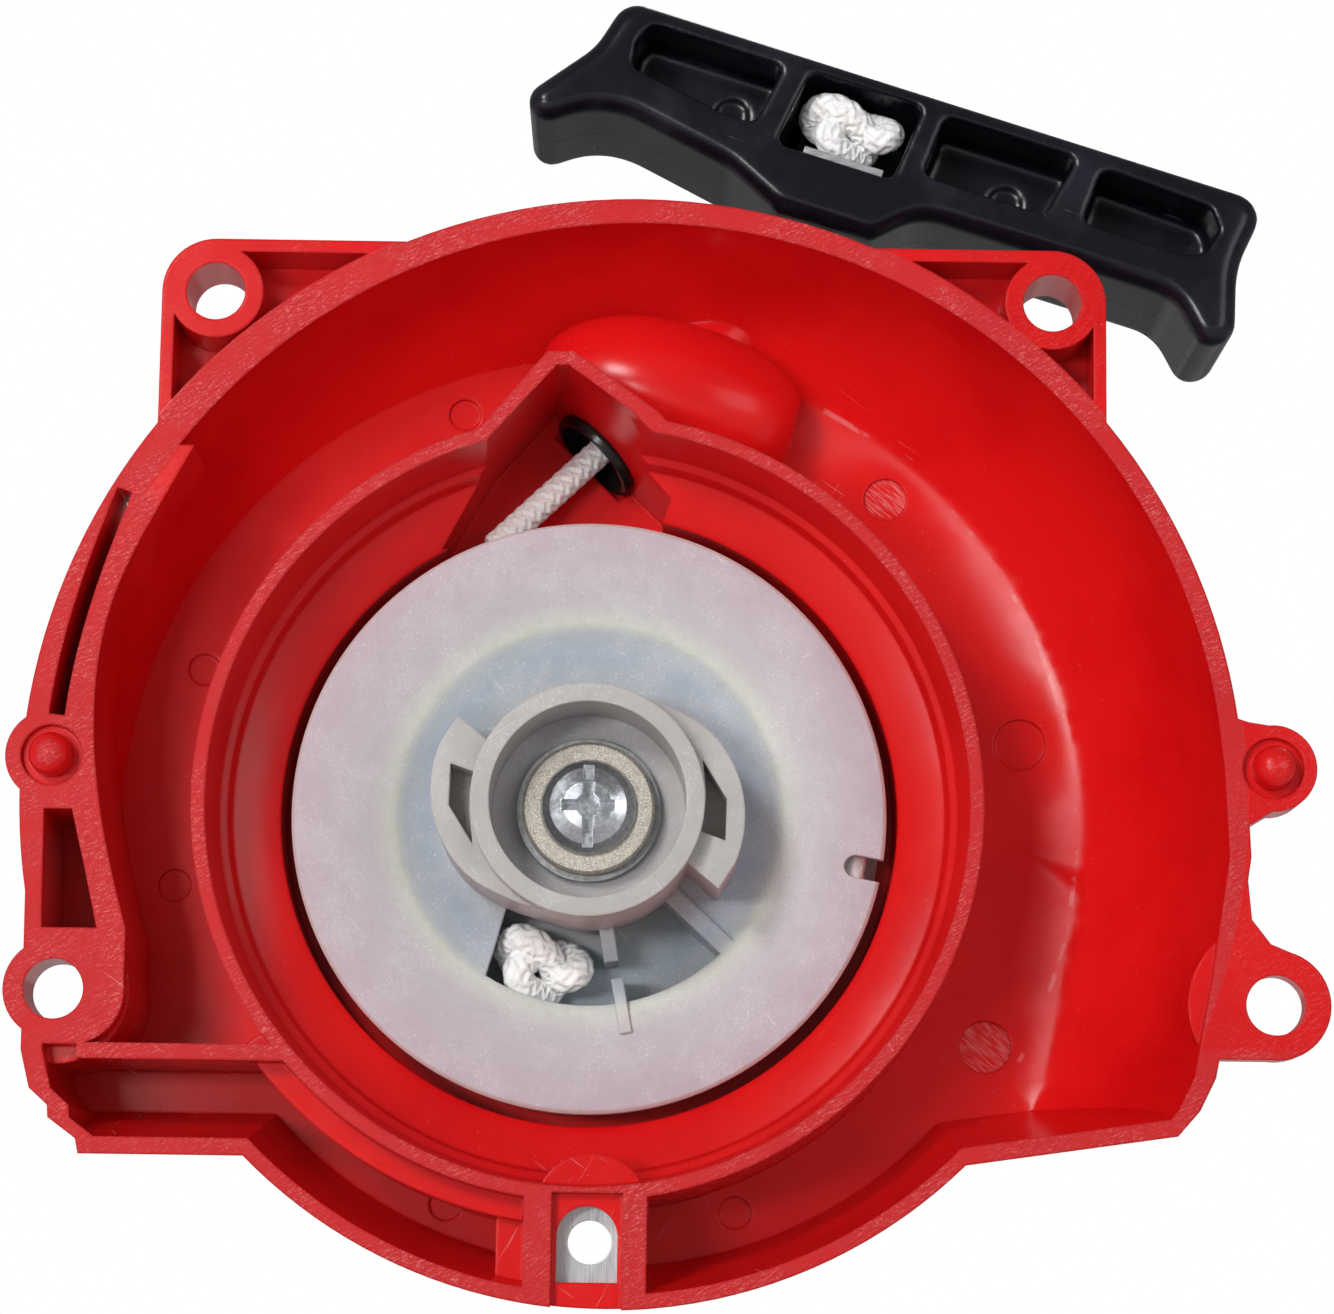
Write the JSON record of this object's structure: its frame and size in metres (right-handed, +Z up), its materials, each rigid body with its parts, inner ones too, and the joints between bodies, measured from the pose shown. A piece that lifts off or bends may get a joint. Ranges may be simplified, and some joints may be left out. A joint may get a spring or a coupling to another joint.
{
  "type": "recoil starter",
  "caption": "Pull-cord recoil starter: shallow plastic fan housing with a spring-returned rope reel, ratchet hub and T handle.",
  "frame": {"origin": "on the reel's axis, in the plane of the housing's mounting rim", "axes": "+X to the right and +Z up as seen from the engine, +Y into the housing, away from the engine"},
  "size_m": [0.1426, 0.0392, 0.1485],
  "materials": {
    "red_plastic": "glossy moulded red plastic with worn, scratched rims",
    "black_plastic": "smooth black",
    "grip_plastic": "semi-gloss moulded black",
    "zinc": "bright zinc plate",
    "steel": "plain steel",
    "spring_steel": "oiled blue-grey spring steel",
    "brass": "plain",
    "sintered_bronze": "matt speckled sintered metal",
    "nylon": "translucent frosted natural nylon",
    "rope": "white braided nylon, slightly shiny"
  },
  "bodies": {
    "housing": {"housing": "red_plastic", "housing_left": "red_plastic", "housing_right": "red_plastic", "housing_block": "red_plastic", "housing_floor": "red_plastic", "housing_ring": "red_plastic", "housing_well": "red_plastic", "rope_guide": "black_plastic", "clamp_plate": "zinc", "post_insert": "brass", "reel_screw": "zinc", "reel_collar": "sintered_bronze", "thrust_washer": "steel", "spring_cassette": "black_plastic", "recoil_spring": "spring_steel"},
    "reel": {"reel": "nylon", "ratchet_cup": "nylon", "rope_coil": "rope", "reel_knot": "rope"},
    "handle": {"handle_grip": "grip_plastic", "handle_washer": "zinc", "handle_knot": "rope", "rope_tail": "rope", "rope_run": "rope"}
  },
  "joints": [
    {"name": "handle_pull", "type": "slide", "parent": "housing", "child": "handle", "axis": [0.7002, 0.1392, 0.7002], "range_m": [0, 0.8], "deforming": ["rope_run"]},
    {"name": "reel_spin", "type": "hinge", "parent": "housing", "child": "reel", "pos_m": [0, 0, 0], "axis": [0, 1, 0], "range_deg": [0, 1690], "stiffness_Nm_per_rad": 0.012, "springref_deg": -716.2, "deforming": ["recoil_spring"]}
  ],
  "couplings": [
    {"joint": "reel_spin", "follows": "handle_pull", "rad_per_m": 36.6}
  ]
}
